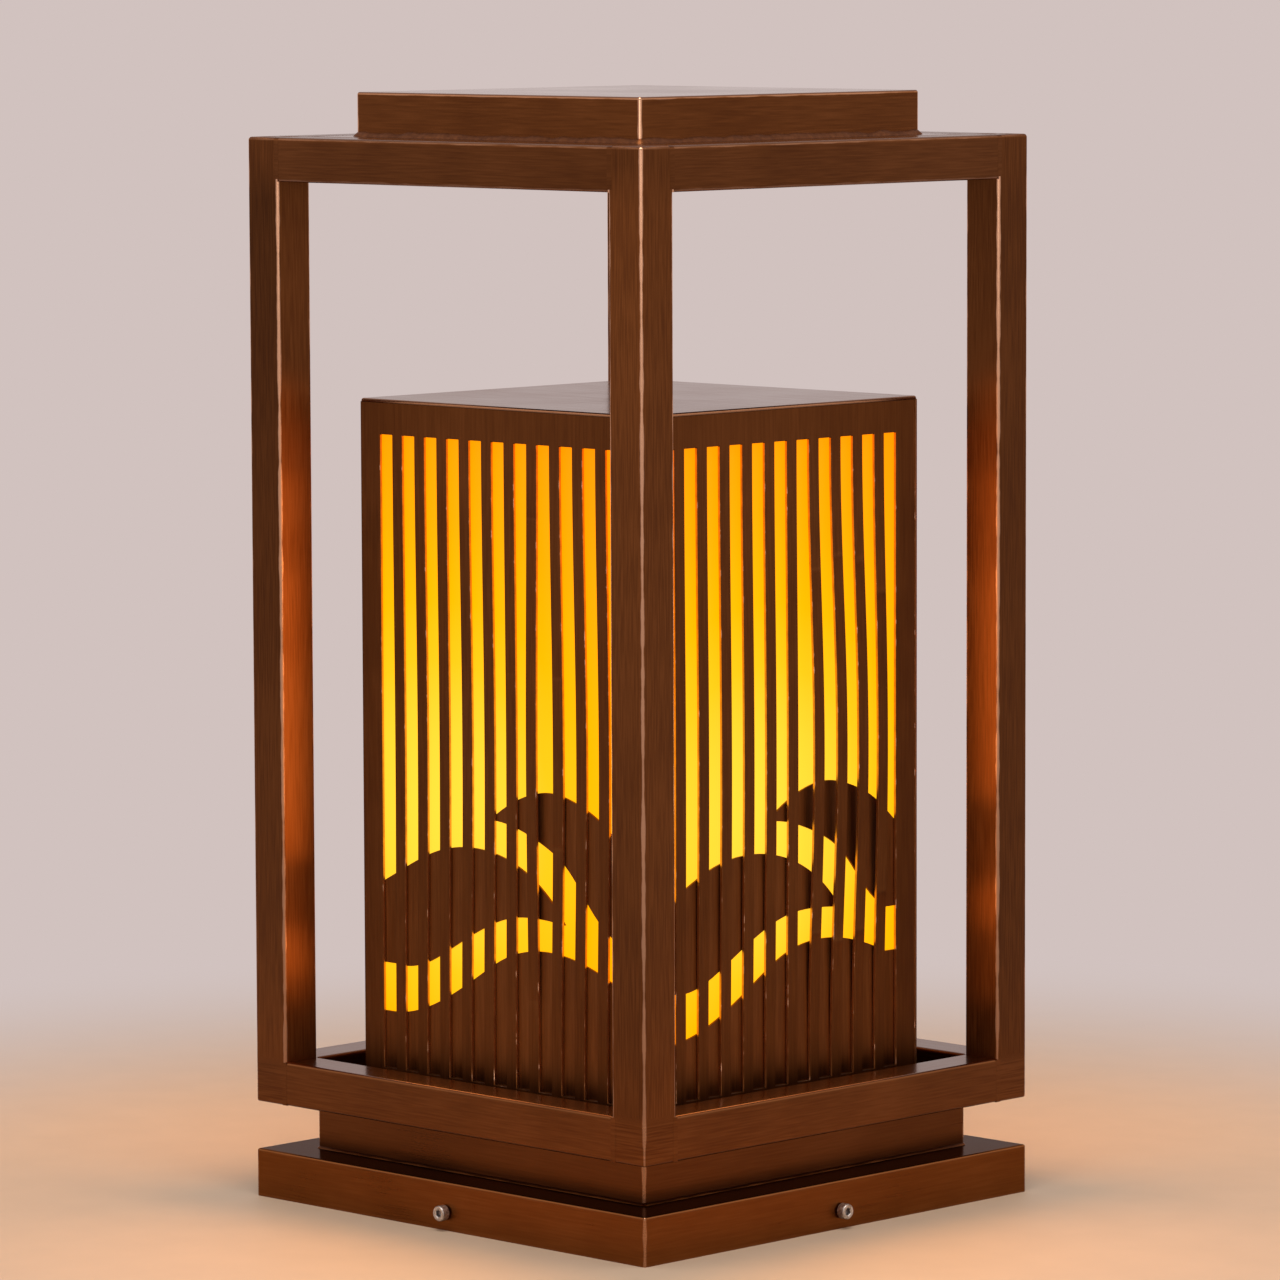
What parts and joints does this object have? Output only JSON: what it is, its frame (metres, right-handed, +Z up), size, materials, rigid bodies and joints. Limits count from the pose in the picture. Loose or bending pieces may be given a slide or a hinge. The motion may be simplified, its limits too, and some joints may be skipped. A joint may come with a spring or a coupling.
{
  "type": "gate pillar lantern",
  "caption": "Square gate-pillar lantern: an open frame of brown tube round a slotted, amber-lit shade with layered hills, lifting off a mounting plate that carries the bulb.",
  "frame": {"origin": "middle of the base, on the face that rests on the pillar", "axes": "+Z up, -Y the front side, +X the right side"},
  "size_m": [0.2592, 0.2592, 0.5055],
  "materials": {
    "frame_bronze": "satin",
    "shade_bronze": "satin",
    "hill_bronze": "satin",
    "seal_brown": "satin",
    "amber_acrylic": "gloss",
    "angle_aluminium": "satin",
    "screw_steel": "polished",
    "zinc_steel": "satin",
    "earth_brass": "satin",
    "bush_rubber": "matte",
    "terminal_white": "matte",
    "holder_black": "satin",
    "holder_ceramic": "matte",
    "bulb_nickel": "satin",
    "bulb_white": "satin",
    "bulb_opal": "satin",
    "led_aluminium": "satin"
  },
  "bodies": {
    "base": {"mounting_plate": "zinc_steel", "plate_tabs": "zinc_steel", "cable_bush": "bush_rubber", "lamp_bridge": "zinc_steel", "bridge_screws": "zinc_steel", "earth_screw": "earth_brass", "lamp_stem": "zinc_steel", "stem_nuts": "zinc_steel", "terminal_block": "terminal_white", "terminal_screws": "zinc_steel", "holder_cap": "holder_black", "holder_body": "holder_black", "holder_insert": "holder_ceramic", "holder_thread": "earth_brass", "holder_contact": "earth_brass"},
    "cover": {"base_skirt": "frame_bronze", "clamp_nuts": "zinc_steel", "plinth": "frame_bronze", "deck": "frame_bronze", "post_plugs": "frame_bronze", "top_plate": "frame_bronze", "top_cap": "frame_bronze", "cap_bead": "seal_brown", "shade_lid": "shade_bronze", "corner_angles": "angle_aluminium", "shade_screws": "zinc_steel", "shade_nuts": "zinc_steel", "post_front_right": "frame_bronze", "post_back_right": "frame_bronze", "post_back_left": "frame_bronze", "post_front_left": "frame_bronze", "bottom_rail_front": "frame_bronze", "bottom_rail_right": "frame_bronze", "bottom_rail_back": "frame_bronze", "bottom_rail_left": "frame_bronze", "top_rail_front": "frame_bronze", "top_rail_right": "frame_bronze", "top_rail_back": "frame_bronze", "top_rail_left": "frame_bronze", "slat_panel_front": "shade_bronze", "slat_panel_right": "shade_bronze", "slat_panel_back": "shade_bronze", "slat_panel_left": "shade_bronze", "hill_plate_front": "hill_bronze", "hill_plate_right": "hill_bronze", "hill_plate_back": "hill_bronze", "hill_plate_left": "hill_bronze", "diffuser_front": "amber_acrylic", "diffuser_right": "amber_acrylic", "diffuser_back": "amber_acrylic", "diffuser_left": "amber_acrylic"},
    "bulb": {"bulb_contact": "earth_brass", "bulb_cap": "bulb_nickel", "bulb_housing": "bulb_white", "bulb_globe": "bulb_opal", "bulb_led_plate": "led_aluminium"},
    "clamp_front": {"clamp_screw_front": "screw_steel"},
    "clamp_right": {"clamp_screw_right": "screw_steel"},
    "clamp_back": {"clamp_screw_back": "screw_steel"},
    "clamp_left": {"clamp_screw_left": "screw_steel"}
  },
  "joints": [
    {"name": "cover_lift", "type": "slide", "parent": "base", "child": "cover", "axis": [0, 0, 1], "range_m": [0, 0.24]},
    {"name": "bulb_unscrew", "type": "slide", "parent": "base", "child": "bulb", "axis": [0, 0, 1], "range_m": [0, 0.028]},
    {"name": "clamp_screw_out_front", "type": "slide", "parent": "cover", "child": "clamp_front", "axis": [0, -1, 0], "range_m": [0, 0.009]},
    {"name": "clamp_screw_out_right", "type": "slide", "parent": "cover", "child": "clamp_right", "axis": [1, 0, 0], "range_m": [0, 0.009]},
    {"name": "clamp_screw_out_back", "type": "slide", "parent": "cover", "child": "clamp_back", "axis": [0, 1, 0], "range_m": [0, 0.009]},
    {"name": "clamp_screw_out_left", "type": "slide", "parent": "cover", "child": "clamp_left", "axis": [-1, 0, 0], "range_m": [0, 0.009]}
  ]
}
